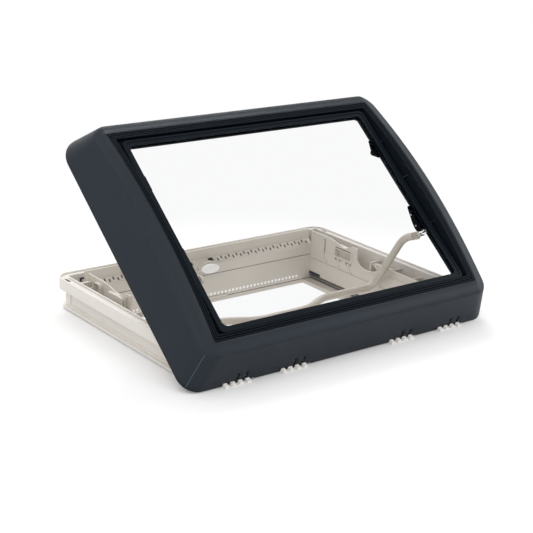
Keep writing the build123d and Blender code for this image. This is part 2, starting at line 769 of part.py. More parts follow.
# Hinge leaves: knuckles between the teeth, on a pad that fits the skirt's inner face
for number, hinge_x in enumerate(hinge_places, 1):
    with BuildPart() as hinge_leaf:
        with BuildSketch(lid_side(hinge_x)):
            with BuildLine():
                Polyline(
                    (skirt_front, leaf_low), (-leaf_low - leaf_thickness + 1, leaf_low),
                    (leaf_thickness - 3, leaf_top), (skirt_front, leaf_top), close=True,
                )
            make_face()
        extrude(amount=block_width / 2, both=True)
        for knuckle_x in knuckle_places:
            with BuildSketch(lid_side(hinge_x + knuckle_x)):
                with BuildLine():
                    Polyline(
                        (-knuckle_radius, 0), (knuckle_radius, 0), (knuckle_radius, leaf_top),
                        (-2 * knuckle_radius, leaf_top), (-2 * knuckle_radius, leaf_low + 3), close=True,
                    )
                make_face()
                Circle(knuckle_radius)
            extrude(amount=knuckle_width / 2, both=True)
        add(lid_cavity.part, mode=Mode.INTERSECT)
        with BuildSketch(lid_side(hinge_x)):
            Circle(pin_radius + pin_clearance)
        extrude(amount=block_width / 2, both=True, mode=Mode.SUBTRACT)
    save(hinge_leaf, f"hinge_leaf_{number}")

# Lid frame: a wall with three ridges that follow the crown inside the lip, a channel
# with gussets across it, and the rim round the window
ridges_width = ridge_count * (ridge_width + ridge_gap)
wall_size = (lip_width - 2 * ridges_width, lip_depth - 2 * ridges_width)
rim_size = (aperture_width + 2 * rim_width_inside, aperture_depth + 2 * rim_width_inside)
slot_size = (aperture_width + 2 * pane_lap, aperture_depth + 2 * pane_lap)
slot_top_level = inner_pane_bottom + inner_pane_thickness + spacer_height + pane_thickness + gasket_thickness
with BuildPart() as lid_frame:
    add(ring(
        lid_frame_bottom, shoulder_level - lid_frame_bottom, (lip_width, lip_depth),
        wall_size, lip_centre, lip_radius,
    ))
    add(crowned_block(ridge_drop), mode=Mode.INTERSECT)
    for place in range(ridge_count):
        reach = place * (ridge_width + ridge_gap)
        with BuildPart(mode=Mode.PRIVATE) as groove:
            add(ring(
                lid_frame_bottom, shoulder_level, (lip_width - 2 * reach, lip_depth - 2 * reach),
                (lip_width - 2 * reach - 2 * ridge_gap, lip_depth - 2 * reach - 2 * ridge_gap),
                lip_centre, lip_radius,
            ))
            add(crowned_block(ridge_drop + groove_depth + place * ridge_step), mode=Mode.SUBTRACT)
        add(groove.part, mode=Mode.SUBTRACT)
    add(ring(
        lid_frame_bottom, channel_floor - lid_frame_bottom, wall_size,
        (aperture_width, aperture_depth), lip_centre, lip_radius, aperture_centre,
    ))
    add(ring(
        lid_frame_bottom, aperture_top - lid_frame_bottom, rim_size,
        (aperture_width, aperture_depth), aperture_centre, aperture_radius,
    ))
    add(ring(
        aperture_top, rim_bead_height, rim_size, (rim_size[0] - 2 * rim_bead, rim_size[1] - 2 * rim_bead),
        aperture_centre, aperture_radius,
    ))
    for v in gusset_places:
        gusset_plane = Plane(origin=lid_point(0, v, 0), x_dir=(1, 0, 0), z_dir=(0, -lid_cos, -lid_sin))
        with BuildSketch(gusset_plane):
            for side in (-1, 1):
                with BuildLine():
                    Polyline(
                        (side * (rim_size[0] / 2 - 1), lid_frame_bottom + 1),
                        (side * (wall_size[0] / 2 + 1), lid_frame_bottom + 1),
                        (side * (wall_size[0] / 2 + 1), crown_height(v) - gusset_drop),
                        (side * (rim_size[0] / 2 - 1), aperture_top), close=True,
                    )
                make_face()
        extrude(amount=gusset_width / 2, both=True)
    with BuildSketch(lid_level(lid_frame_bottom)):
        with Locations((0, aperture_centre)):
            RectangleRounded(*slot_size, aperture_radius)
    extrude(amount=slot_top_level - lid_frame_bottom, mode=Mode.SUBTRACT)
save(lid_frame, "lid_frame")

# Glazing: two panes on a spacer, held up against a gasket by a bead pushed in from below
pane_size = (slot_size[0] - 2 * pane_gap, slot_size[1] - 2 * pane_gap)
outer_pane_bottom = inner_pane_bottom + inner_pane_thickness + spacer_height
for level, height, name in (
    (inner_pane_bottom, inner_pane_thickness, "inner_pane"),
    (outer_pane_bottom, pane_thickness, "outer_pane"),
):
    with BuildPart() as pane:
        with BuildSketch(lid_level(level)):
            with Locations((0, aperture_centre)):
                RectangleRounded(*pane_size, aperture_radius)
        extrude(amount=height)
    save(pane, name)
for level, height, width, name in (
    (inner_pane_bottom + inner_pane_thickness, spacer_height, spacer_width, "pane_spacer"),
    (outer_pane_bottom + pane_thickness, gasket_thickness, gasket_width, "glazing_gasket"),
):
    with BuildPart() as pane_ring:
        inner_size = (pane_size[0] - 2 * width, pane_size[1] - 2 * width)
        add(ring(level, height, pane_size, inner_size, aperture_centre, aperture_radius))
    save(pane_ring, name)
with BuildPart() as glazing_bead:
    bead_size = (slot_size[0] - 2 * bead_clearance, slot_size[1] - 2 * bead_clearance)
    add(ring(
        lid_frame_bottom, bead_height, bead_size, (aperture_width, aperture_depth),
        aperture_centre, aperture_radius,
    ))
save(glazing_bead, "glazing_bead")

# Lid seal: the ring that lands on the top edges of the inner panels
seal_x = opening_side + wall / 2
seal_y = ledge_y + wall / 2
with BuildPart() as lid_seal:
    with BuildSketch(lid_level(panel_top - hinge_z + seat_gap)):
        with Locations((0, -hinge_y)):
            RectangleRounded(2 * seal_x + seal_width, 2 * seal_y + seal_width, seal_width)
            RectangleRounded(2 * seal_x - seal_width, 2 * seal_y - seal_width, 3, mode=Mode.SUBTRACT)
    extrude(amount=lid_frame_bottom + hinge_z - panel_top - seat_gap)
save(lid_seal, "lid_seal")

# Latch hooks, bow brackets and bow rods, on the window's inner side walls
for side, name in ((1, "right"), (-1, "left")):
    with BuildPart() as latch_hook:
        with BuildSketch(lid_side(side * lug_side)):
            with BuildLine():
                Polyline(*hook_outline, close=True)
            make_face()
        extrude(amount=side * (aperture_width / 2 - lug_side))
    save(latch_hook, f"latch_hook_{name}")
    with BuildPart() as bow_bracket:
        with BuildSketch(lid_side(side * lug_side)):
            with BuildLine():
                Polyline(*bracket_outline, close=True)
            make_face()
            with Locations((pivot_v, pivot_n)):
                Circle(rod_radius, mode=Mode.SUBTRACT)
        extrude(amount=side * (aperture_width / 2 - lug_side))
    save(bow_bracket, f"bow_bracket_{name}")
    with BuildPart() as bow_rod:
        with BuildSketch(lid_side(side * (bow_x - eye_thickness / 2 - seat_gap))):
            with Locations((pivot_v, pivot_n)):
                Circle(rod_radius)
        extrude(amount=side * (aperture_width / 2 - bow_x + eye_thickness / 2 + seat_gap))
        with BuildSketch(lid_side(side * (bow_x - eye_thickness / 2 - seat_gap))):
            with Locations((pivot_v, pivot_n)):
                Circle(rod_radius + 1.6)
        extrude(amount=-side * 1.5)
    save(bow_rod, f"bow_rod_{name}")

# Bow: one bent tube with flattened eyes on the rods, and the crossbar set back
# at its middle as a grip
pivot = lid_point(0, pivot_v, pivot_n)
pivot_y = pivot[1]
pivot_z = pivot[2]
neck = (bow_x, neck_y, neck_z)
elbow = (bow_x, crossbar_y, crossbar_z)
leg_start = Vector(bow_x, pivot_y, pivot_z)
leg_start += (Vector(neck) - leg_start).normalized() * (eye_radius + 1)
neck_start, neck_mid, neck_end = rounded_corner(leg_start, neck, elbow, neck_radius)
elbow_start, elbow_mid, elbow_end = rounded_corner(neck, elbow, (0, crossbar_y, crossbar_z), elbow_radius)
with BuildPart() as bow_tube:
    with BuildLine() as bow_line:
        Line(leg_start, neck_start)
        ThreePointArc(neck_start, neck_mid, neck_end)
        Line(neck_end, elbow_start)
        ThreePointArc(elbow_start, elbow_mid, elbow_end)
        Line(elbow_end, (grip_end, crossbar_y, crossbar_z))
        Spline(
            (grip_end, crossbar_y, crossbar_z), (grip_flat, crossbar_y - grip_offset, crossbar_z),
            tangents=((-1, 0, 0), (-1, 0, 0)),
        )
        Line((grip_flat, crossbar_y - grip_offset, crossbar_z), (0, crossbar_y - grip_offset, crossbar_z))
    with BuildSketch(Plane(origin=leg_start, z_dir=bow_line.wires()[0] % 0)):
        Circle(bow_radius)
    sweep(path=bow_line.wires()[0])
    eye_direction = (Vector(neck) - Vector(bow_x, pivot_y, pivot_z)).normalized()
    eye_plane = Plane(origin=(bow_x, pivot_y, pivot_z), x_dir=eye_direction, z_dir=(1, 0, 0))
    with BuildSketch(eye_plane):
        Circle(eye_radius)
        with Locations((eye_radius, 0)):
            Rectangle(2 * eye_radius, 1.6 * bow_radius)
    extrude(amount=eye_thickness / 2, both=True)
    with BuildSketch(eye_plane):
        Circle(rod_radius + rod_clearance)
    extrude(amount=eye_thickness, both=True, mode=Mode.SUBTRACT)
    mirror(about=Plane.YZ)
save(bow_tube, "bow_tube")

# Blinds: a pull bar in each groove of the tracks, and the folded blind behind it
bar_reach = opening_side + track_depth - 1.2 - bar_clearance
bay_end = opening_end + blind_bay
bar_back = opening_end + 1 + bar_depth
for low, high, turn, name in (
    (track_bottom + 1.2, track_split - track_skin, 1, "blackout"),
    (track_split, track_top - 1.2, -1, "flyscreen"),
):
    bar_height = high - low - 2 * bar_clearance
    with BuildPart() as pull_bar:
        with BuildSketch(Plane.XY.offset(low + bar_clearance)):
            with Locations((0, turn * (bar_back - bar_depth / 2))):
                Rectangle(2 * bar_reach, bar_depth)
            with Locations((0, turn * (bar_back - bar_depth - grip_reach / 2))):
                Rectangle(grip_width, grip_reach)
        extrude(amount=bar_height)
        fillet(pull_bar.edges().filter_by(Axis.Z), 1)
    save(pull_bar, f"{name}_bar")
    pleat = (bay_end - bar_back - 2) / pleat_count
    upper = []
    for i in range(pleat_count):
        upper.append((bar_back + 1 + pleat * i, high - seat_gap))
        upper.append((bar_back + 1 + pleat * (i + 0.5), high - seat_gap - 1.5))
    lower = [(place[0], place[1] - bar_height + 1.5) for place in reversed(upper)]
    with BuildPart() as blind_pack:
        with BuildSketch(Plane.YZ.offset(-bar_reach)):
            with BuildLine():
                Polyline(*[(turn * place[0], place[1]) for place in upper + lower], close=True)
            make_face()
        extrude(amount=2 * bar_reach)
    save(blind_pack, f"{name}_pack")
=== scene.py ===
import bmesh
import bpy
import json
import math
from mathutils import Matrix, Vector
from mathutils.bvhtree import BVHTree


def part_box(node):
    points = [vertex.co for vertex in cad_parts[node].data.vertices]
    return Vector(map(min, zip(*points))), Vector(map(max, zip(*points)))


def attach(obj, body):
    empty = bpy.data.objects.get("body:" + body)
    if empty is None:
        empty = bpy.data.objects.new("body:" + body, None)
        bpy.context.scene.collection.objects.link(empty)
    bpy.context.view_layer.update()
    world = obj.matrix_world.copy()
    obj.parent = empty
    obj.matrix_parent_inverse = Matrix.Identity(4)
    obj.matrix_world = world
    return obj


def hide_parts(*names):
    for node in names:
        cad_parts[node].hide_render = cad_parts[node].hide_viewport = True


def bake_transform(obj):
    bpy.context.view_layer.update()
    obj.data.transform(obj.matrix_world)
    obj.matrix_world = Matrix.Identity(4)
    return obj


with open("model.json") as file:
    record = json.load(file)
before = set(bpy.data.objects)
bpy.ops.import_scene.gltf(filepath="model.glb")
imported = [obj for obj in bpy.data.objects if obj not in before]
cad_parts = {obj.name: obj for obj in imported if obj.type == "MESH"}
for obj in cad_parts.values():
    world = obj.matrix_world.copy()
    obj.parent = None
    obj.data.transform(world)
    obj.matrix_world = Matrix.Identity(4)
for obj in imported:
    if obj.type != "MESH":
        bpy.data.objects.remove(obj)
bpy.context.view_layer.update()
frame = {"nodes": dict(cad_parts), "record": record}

# Camera, fitted to the photograph
picture_width = 533
focal_pixels = 1372.8
sensor_width = 36
camera_place = Vector((-1.7881, -2.2249, 1.0753))
camera_back = Vector((-0.5930, -0.7385, 0.3211)).normalized()
camera_roll = math.radians(2.8)
flat_right = Vector((0, 0, 1)).cross(camera_back).normalized()
flat_up = camera_back.cross(flat_right)
right = math.cos(camera_roll) * flat_right + math.sin(camera_roll) * flat_up
up = -math.sin(camera_roll) * flat_right + math.cos(camera_roll) * flat_up
camera_data = bpy.data.cameras.new("camera")
camera_data.sensor_width = sensor_width
camera_data.lens = sensor_width * focal_pixels / picture_width
camera = bpy.data.objects.new("camera", camera_data)
camera.matrix_world = Matrix((
    (right.x, up.x, camera_back.x, camera_place.x),
    (right.y, up.y, camera_back.y, camera_place.y),
    (right.z, up.z, camera_back.z, camera_place.z),
    (0, 0, 0, 1),
))
bpy.context.scene.collection.objects.link(camera)
bpy.context.scene.camera = camera
bpy.context.scene.view_settings.view_transform = "Standard"


# Materials
def shader(name):
    """Start a node material; return it, its tree and its Principled node."""
    material = bpy.data.materials.new(name)
    material.use_nodes = True
    tree = material.node_tree
    return material, tree, tree.nodes["Principled BSDF"]


def node(tree, kind, **values):
    """Add a node and set its inputs by name."""
    made = tree.nodes.new(kind)
    for key, value in values.items():
        made.inputs[key.replace("_", " ")].default_value = value
    return made


def combine(tree, operation, first, second):
    """Add a maths node between an output and another output or a number."""
    made = tree.nodes.new("ShaderNodeMath")
    made.operation = operation
    tree.links.new(first, made.inputs[0])
    if isinstance(second, float):
        made.inputs[1].default_value = second
    else:
        tree.links.new(second, made.inputs[1])
    return made.outputs["Value"]


def plastic(
    name, colour, roughness, grain=900, grain_depth=0.00004,
    cloud=0.05, metallic=0.0, specular=0.5, soft=0,
):
    """Moulded plastic: a fine grain in the surface and a faint cloud in colour and sheen."""
    material, tree, principled = shader(name)
    link = tree.links.new
    place = tree.nodes.new("ShaderNodeTexCoord")
    clouds = node(tree, "ShaderNodeTexNoise", Scale=14.0, Detail=3.0)
    link(place.outputs["Object"], clouds.inputs["Vector"])
    ramp = tree.nodes.new("ShaderNodeValToRGB")
    low = [c * (1 - cloud) for c in colour]
    high = [min(1, c * (1 + cloud)) for c in colour]
    ramp.color_ramp.elements[0].position = 0.3
    ramp.color_ramp.elements[0].color = (*low, 1)
    ramp.color_ramp.elements[1].position = 0.7
    ramp.color_ramp.elements[1].color = (*high, 1)
    link(clouds.outputs["Fac"], ramp.inputs["Fac"])
    link(ramp.outputs["Color"], principled.inputs["Base Color"])
    fine = node(tree, "ShaderNodeTexNoise", Scale=float(grain), Detail=2.0)
    link(place.outputs["Object"], fine.inputs["Vector"])
    gloss = node(tree, "ShaderNodeMapRange", From_Min=0.3, From_Max=0.7)
    gloss.inputs["To Min"].default_value = roughness - 0.04
    gloss.inputs["To Max"].default_value = roughness + 0.05
    link(clouds.outputs["Fac"], gloss.inputs["Value"])
    link(gloss.outputs["Result"], principled.inputs["Roughness"])
    bump = node(tree, "ShaderNodeBump", Strength=0.5, Distance=grain_depth)
    link(fine.outputs["Fac"], bump.inputs["Height"])
    if soft:
        edge = node(tree, "ShaderNodeBevel", Radius=soft)
        edge.samples = 6
        link(edge.outputs["Normal"], bump.inputs["Normal"])
    link(bump.outputs["Normal"], principled.inputs["Normal"])
    principled.inputs["Metallic"].default_value = metallic
    principled.inputs["Specular IOR Level"].default_value = specular
    return material


sheen_start = 0.02
sheen_most = 0.35
sheen_power = 3.0


def acrylic(name):
    """Clear sheet: what is behind it shows through, and it shines where seen at a slant."""
    material, tree, principled = shader(name)
    link = tree.links.new
    out = tree.nodes["Material Output"]
    tree.nodes.remove(principled)
    place = tree.nodes.new("ShaderNodeTexCoord")
    wave = node(tree, "ShaderNodeTexNoise", Scale=3.0, Detail=1.0)
    link(place.outputs["Object"], wave.inputs["Vector"])
    bump = node(tree, "ShaderNodeBump", Strength=0.08, Distance=0.0005)
    link(wave.outputs["Fac"], bump.inputs["Height"])
    clear = node(tree, "ShaderNodeBsdfTransparent", Color=(0.9868, 0.9876, 0.989, 1))
    sheen = node(tree, "ShaderNodeBsdfGlossy", Color=(0.95, 0.96, 0.97, 1), Roughness=0.04)
    link(bump.outputs["Normal"], sheen.inputs["Normal"])
    facing = node(tree, "ShaderNodeLayerWeight", Blend=0.25)
    steep = combine(tree, "POWER", facing.outputs["Facing"], sheen_power)
    amount = node(tree, "ShaderNodeMapRange", From_Min=sheen_start, From_Max=1.0)
    amount.inputs["To Min"].default_value = 0.0
    amount.inputs["To Max"].default_value = sheen_most
    link(steep, amount.inputs["Value"])
    mix = tree.nodes.new("ShaderNodeMixShader")
    link(amount.outputs["Result"], mix.inputs["Fac"])
    link(clear.outputs["BSDF"], mix.inputs[1])
    link(sheen.outputs["BSDF"], mix.inputs[2])
    link(mix.outputs["Shader"], out.inputs["Surface"])
    return material


def cloth(name, colour, weave=1400):
    """Blind fabric: crossed threads in the surface and a soft sheen."""
    material, tree, principled = shader(name)
    link = tree.links.new
    place = tree.nodes.new("ShaderNodeTexCoord")
    warp = node(tree, "ShaderNodeTexWave", Scale=float(weave))
    warp.bands_direction = "X"
    weft = node(tree, "ShaderNodeTexWave", Scale=float(weave))
    weft.bands_direction = "Y"
    link(place.outputs["Object"], warp.inputs["Vector"])
    link(place.outputs["Object"], weft.inputs["Vector"])
    both = combine(tree, "MULTIPLY", warp.outputs["Fac"], weft.outputs["Fac"])
    ramp = tree.nodes.new("ShaderNodeValToRGB")
    ramp.color_ramp.elements[0].color = (*[c * 0.8 for c in colour], 1)
    ramp.color_ramp.elements[1].color = (*colour, 1)
    link(both, ramp.inputs["Fac"])
    link(ramp.outputs["Color"], principled.inputs["Base Color"])
    bump = node(tree, "ShaderNodeBump", Strength=0.4, Distance=0.0001)
    link(both, bump.inputs["Height"])
    link(bump.outputs["Normal"], principled.inputs["Normal"])
    principled.inputs["Roughness"].default_value = 0.85
    principled.inputs["Sheen Weight"].default_value = 0.2
    return material


looks = {
    "cream_plastic": plastic("cream_plastic", (0.67, 0.632, 0.58), 0.42, cloud=0.02, specular=0.4),
    "track_plastic": plastic("track_plastic", (0.42, 0.40, 0.37), 0.45),
    "steel": plastic("steel", (0.55, 0.55, 0.56), 0.32, grain=2200, metallic=1.0),
    "anthracite_plastic": plastic(
        "anthracite_plastic", (0.0145, 0.0205, 0.0285), 0.44,
        grain=1300, cloud=0.04, specular=0.17, soft=0.014,
    ),
    "black_plastic": plastic(
        "black_plastic", (0.0072, 0.0104, 0.0145), 0.40, grain=1300, cloud=0.04, specular=0.045,
    ),
    "black_rubber": plastic("black_rubber", (0.012, 0.012, 0.013), 0.62, grain=1600),
    "clear_acrylic": acrylic("clear_acrylic"),
    "bright_steel": plastic(
        "bright_steel", (0.75, 0.75, 0.76), 0.12, grain=3000, grain_depth=0.000005, metallic=1.0,
    ),
    "cream_metal": plastic(
        "cream_metal", (0.545, 0.495, 0.43), 0.34, grain=1800, grain_depth=0.00002, cloud=0.03,
    ),
    "blackout_cloth": cloth("blackout_cloth", (0.45, 0.45, 0.44)),
    "net_cloth": cloth("net_cloth", (0.06, 0.06, 0.06)),
}
# Knob plastic paler and glossier than the panels: partly its own tone, partly a painted highlight
knob_highlight_look = plastic("knob_plastic_painted_highlight", (0.92, 0.91, 0.89), 0.28, cloud=0.015)
# Lit and shaded copies of the cream plastic: outer frame paler (painted light), inner panels
# darker and warmer (painted shade)
lit_frame_look = plastic("frame_plastic_painted_light", (0.71, 0.675, 0.63), 0.42, cloud=0.02, specular=0.4)
shaded_panel_look = plastic("panel_plastic_painted_shade", (0.635, 0.590, 0.525), 0.42, cloud=0.02, specular=0.4)
hinge_look = plastic("hinge_plastic", (0.90, 0.88, 0.85), 0.38, cloud=0.02, specular=0.4)
# A darker copy of the black plastic for the bow brackets and latch hooks under the lid: painted
# shade
deep_shade_look = plastic(
    "black_painted_shade", (0.0028, 0.0040, 0.0060), 0.42,
    grain=1300, grain_depth=0.00001, cloud=0.04, specular=0.03,
)
# Paler than the anthracite shell: a painted highlight down the lid's front corners
corner_highlight_look = plastic("corner_highlight_line", (0.085, 0.10, 0.12), 0.35)
# A dark sheet behind the vent slots: painted shade
vent_shade_look = plastic("vent_shadow", (0.13, 0.115, 0.10), 0.8, specular=0.1)
navy_look = plastic("navy_plastic", (0.02, 0.03, 0.05), 0.45)
seam_shade_look = plastic("shadow_gap", (0.10, 0.09, 0.08), 0.8, specular=0.1)
# The pale mesh behind the square vents glows a little: painted light coming through the vents
daylight_look = plastic("pale_mesh_painted_light", (0.92, 0.91, 0.90), 0.7, grain=1500)
daylight_inputs = daylight_look.node_tree.nodes["Principled BSDF"].inputs
daylight_inputs["Emission Color"].default_value = (1.0, 0.99, 0.97, 1)
daylight_inputs["Emission Strength"].default_value = 0.14
panel_nodes = ("ceiling_frame", "side_panel_left", "side_panel_right", "rear_panel", "front_panel")
own_looks = {"lock_knob": knob_highlight_look, "outer_frame": lit_frame_look}
own_looks.update({name: shaded_panel_look for name in panel_nodes})
own_looks.update({f"hinge_block_{number}": hinge_look for number in range(1, 5)})
slot_of = {entry["node"]: entry["material_slot"] for entry in frame["record"]["subparts"]}
for name, solid in frame["nodes"].items():
    solid.data.materials.clear()
    solid.data.materials.append(own_looks.get(name, looks[slot_of[name]]))


# Pieces made here
def mesh_piece(name, verts, faces, slot, smooth=False):
    """Make an object from points and faces, in a record slot's finish."""
    mesh = bpy.data.meshes.new(name)
    mesh.from_pydata(verts, [], faces)
    mesh.update()
    made = bpy.data.objects.new(name, mesh)
    bpy.context.scene.collection.objects.link(made)
    mesh.materials.append(looks[slot])
    for face in mesh.polygons:
        face.use_smooth = smooth
    return made


def clean_mesh(made, weld=0.0):
    """Turn a mesh's faces outwards, after joining points nearer than the weld."""
    mesh = bmesh.new()
    mesh.from_mesh(made.data)
    if weld:
        bmesh.ops.remove_doubles(mesh, verts=mesh.verts, dist=weld)
    bmesh.ops.recalc_face_normals(mesh, faces=mesh.faces)
    mesh.to_mesh(made.data)
    mesh.free()


sides = ((1, "right"), (-1, "left"))
lid_angle = math.radians(38.75)
lid_cos = math.cos(lid_angle)
lid_sin = math.sin(lid_angle)
hinge_y = -281
hinge_z = 48


def on_lid(x, v, n):
    """Return the place at rest, in metres, of a point given on the lid in millimetres."""
    y = hinge_y + v * lid_cos - n * lid_sin
    z = hinge_z + v * lid_sin + n * lid_cos
    return Vector((x, y, z)) / 1000


def prism(name, near, far, slot, body, bevel=0.0006, look=None):
    """Make a solid between two matching outlines, with rounded edges, riding on a body."""
    count = len(near)
    faces = [tuple(range(count)), tuple(range(2 * count - 1, count - 1, -1))]
    faces += [((i + 1) % count, i, count + i, count + (i + 1) % count) for i in range(count)]
    made = mesh_piece(name, [tuple(p) for p in near + far], faces, slot)
    clean_mesh(made)
    if look:
        made.data.materials[0] = look
    if bevel:
        rounding = made.modifiers.new("rounding", "BEVEL")
        rounding.width = bevel
        rounding.segments = 3
        rounding.limit_method = "ANGLE"
    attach(made, body)
    return made


def lid_prism(name, outline, x_from, x_to, slot, **more):
    """Make a solid from an outline in the lid's v and n, between two places along x."""
    near = [on_lid(x_from, v, n) for v, n in outline]
    far = [on_lid(x_to, v, n) for v, n in outline]
    return prism(name, near, far, slot, "lid", **more)


# Bow brackets: a block over the rod and a thin ear that carries it, and the latch hooks
bracket_block = (
    (247, 37), (243, 33.5), (228, 28.5), (213, 23.5), (200, 20.5),
    (191, 20.5), (185, 22.5), (182.5, 27), (182.5, 37),
)
bracket_ear = (
    (180, 37), (180.5, 25), (179.3, 21.2), (176, 19.6), (172.7, 21.2), (171.5, 25), (172, 37),
)
hook_block = ((434, 37), (430, 36), (413, 29.5), (410, 23), (404, 22.5), (396, 28.5), (385, 37))
hook_rib = ((428, 37), (414, 31), (400, 31), (392, 37))
window_side = 313.9
block_face = 304
ear_face = 312.4
hook_face = 305.5
rib_back = 306
rivet_height = 0.6
rivet_foot_radius = 2.2
rivet_crown_radius = 1.5
rivet_places = ((199, 27.5), (226, 31.55))


def rivet_ring(x, v, n, radius):
    """Return twelve points of a circle on the bracket's face."""
    turns = [i * math.pi / 6 for i in range(12)]
    return [on_lid(x, v + radius * math.cos(a), n + radius * math.sin(a)) for a in turns]


for side, name in sides:
    wall = side * window_side
    face = side * block_face
    block = lid_prism(
        f"bracket_block_{name}", bracket_block, face, wall, "black_plastic", look=deep_shade_look,
    )
    ear = lid_prism(
        f"bracket_ear_{name}", bracket_ear, side * ear_face, wall, "bright_steel", bevel=0.0003,
    )
    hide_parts(f"bow_bracket_{name}")
    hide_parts(f"bow_bracket_{name}")
    hook = lid_prism(
        f"hook_block_{name}", hook_block, side * hook_face, wall, "black_plastic", look=deep_shade_look,
    )
    rib = lid_prism(
        f"hook_rib_{name}", hook_rib, face, side * rib_back, "black_plastic",
        bevel=0.0003, look=deep_shade_look,
    )
    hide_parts(f"latch_hook_{name}")
    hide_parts(f"latch_hook_{name}")
    for v, n in rivet_places:
        foot = rivet_ring(face, v, n, rivet_foot_radius)
        crown = rivet_ring(face - side * rivet_height, v, n, rivet_crown_radius)
        prism(f"rivet_{name}_{v}", foot, crown, "bright_steel", "lid", bevel=0)

# Thin raised lines down the lid's two front corners, laid on the shell, paler than it: a painted
# highlight
shell_mesh = frame["nodes"]["lid_shell"].data
shell_tree = BVHTree.FromPolygons(
    [v.co for v in shell_mesh.vertices], [p.vertices for p in shell_mesh.polygons],
)
line_half_width = 0.0006
line_height = 0.0004
line_steps = 33
line_foot = -33
line_step = 2.2
ray_start = (466.4, -78)
ray_aim = (297.4, 91)
for side, name in sides:
    points = []
    for i in range(line_steps):
        n = line_foot + line_step * i
        start = on_lid(side * ray_start[0], ray_start[1], n)
        aim = (on_lid(side * ray_aim[0], ray_aim[1], n) - start).normalized()
        place, normal = shell_tree.ray_cast(start, aim)[:2]
        if place:
            points.append((place, normal))
    last = len(points) - 1
    verts = []
    for i, (place, normal) in enumerate(points):
        along = (points[min(i + 1, last)][0] - points[max(i - 1, 0)][0]).normalized()
        across = along.cross(normal).normalized() * line_half_width
        rise = normal * line_height
        verts += [tuple(p) for p in (place - across, place + rise, place + across, place - rise)]
    faces = [
        (4 * i + j, 4 * i + (j + 1) % 4, 4 * i + 4 + (j + 1) % 4, 4 * i + 4 + j)
        for i in range(last) for j in range(4)
    ]
    faces += [(3, 2, 1, 0), tuple(4 * last + j for j in range(4))]
    line = mesh_piece(f"corner_highlight_line_{name}", verts, faces, "anthracite_plastic", smooth=True)
    line.data.materials[0] = corner_highlight_look
    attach(line, "lid")


def slab(name, low, high, slot, body, bevel=0.0003, look=None):
    """Make a small rounded bar between two corners given in millimetres."""
    corners = ((low[0], low[1]), (high[0], low[1]), (high[0], high[1]), (low[0], high[1]))
    near = [Vector((x, y, low[2])) / 1000 for x, y in corners]
    far = [Vector((p.x, p.y, high[2] / 1000)) for p in near]
    return prism(name, near, far, slot, body, bevel=bevel, look=look)


# Strips with the vent slots, on the rear panel's slope, over a dark sheet of painted shade
slope_rise = 12
slope_run = 14
slope = math.atan2(slope_rise, slope_run)
slope_y = 0.232
slope_z = 0.051


def on_slope(x, along, proud):
    """Return the place, in metres, of a point given on the rear panel's slope in metres."""
    y = slope_y + along * math.cos(slope) - proud * math.sin(slope)
    z = slope_z + along * math.sin(slope) + proud * math.cos(slope)
    return Vector((x, y, z))


slot_count = 25
slot_first = 37
slot_pitch = 11.15
slot_half_length = 4.4
slot_radius = 2.2
slot_middle = 1.2
slot_stagger = 1.9
strip_x = (31, 312)
strip_low = -6.6
strip_high = 8.6
strip_thick = 0.0009
strip_lift = 0.00015
shade_sheet_x = (0.033, 0.311)
shade_sheet_y = (-0.0055, 0.0075)
shade_sheet_half = 0.0001


def slot_outline(x, y):
    """Return the outline of an upright slot round a middle."""
    turns = [i * math.pi / 6 for i in range(7)]
    straight = slot_half_length - slot_radius
    arc = [(slot_radius * math.cos(a), straight + slot_radius * math.sin(a)) for a in turns]
    upper = [(x + across, y + up) for across, up in arc]
    lower = [(x - across, y - up) for across, up in arc]
    return upper + lower


def box_outline(side, across, up):
    """Return the corners of a rectangle on one side."""
    near, far = side * across[0], side * across[1]
    return [(near, up[0]), (far, up[0]), (far, up[1]), (near, up[1])]


for side, name in sides:
    outline = bpy.data.curves.new("outline", "CURVE")
    outline.dimensions = "2D"
    outline.fill_mode = "BOTH"
    outline.extrude = strip_thick / 2
    loops = [box_outline(side, strip_x, (strip_low, strip_high))]
    for i in range(slot_count):
        shift = slot_stagger if i % 2 else -slot_stagger
        loops.append(slot_outline(side * (slot_first + slot_pitch * i), slot_middle + shift))
    for points in loops:
        spline = outline.splines.new("POLY")
        spline.points.add(len(points) - 1)
        for point, (x, y) in zip(spline.points, points):
            point.co = (x / 1000, y / 1000, 0, 1)
        spline.use_cyclic_u = True
    flat = bpy.data.objects.new("outline", outline)
    flat_mesh = bpy.data.meshes.new_from_object(flat)
    lift = strip_thick / 2 + strip_lift
    verts = [tuple(on_slope(v.co.x, v.co.y, v.co.z + lift)) for v in flat_mesh.vertices]
    faces = [tuple(p.vertices) for p in flat_mesh.polygons]
    strip = mesh_piece(f"vent_strip_{name}", verts, faces, "cream_plastic")
    strip.data.materials[0] = shaded_panel_look
    clean_mesh(strip, weld=0.000002)
    bpy.data.objects.remove(flat)
    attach(strip, "base")
    corners = box_outline(side, shade_sheet_x, shade_sheet_y)
    low = [on_slope(x, y, -shade_sheet_half) for x, y in corners]
    high = [on_slope(x, y, shade_sheet_half) for x, y in corners]
    prism(
        f"vent_shade_sheet_{name}", low, high, "cream_plastic", "base", bevel=0, look=vent_shade_look,
    )

# The pale mesh behind the square vents, with a painted glow, and painted shadow gaps where panels
# meet the ceiling frame
mesh_low = (-284, 225.9, -35)
mesh_high = (284, 226.5, -26.5)
slab("vent_mesh", mesh_low, mesh_high, "cream_plastic", "base", bevel=0, look=daylight_look)
seam_x = 316
seam_z = (19.4, 20.5)
# Thin dark strips along the panel joints: painted shade
for name, y_from, y_to in (("rear", 224.75, 225.1), ("front", -225.1, -224.75)):
    slab(
        f"seam_{name}", (-seam_x, y_from, seam_z[0]), (seam_x, y_to, seam_z[1]),
        "black_rubber", "base", bevel=0, look=seam_shade_look,
    )
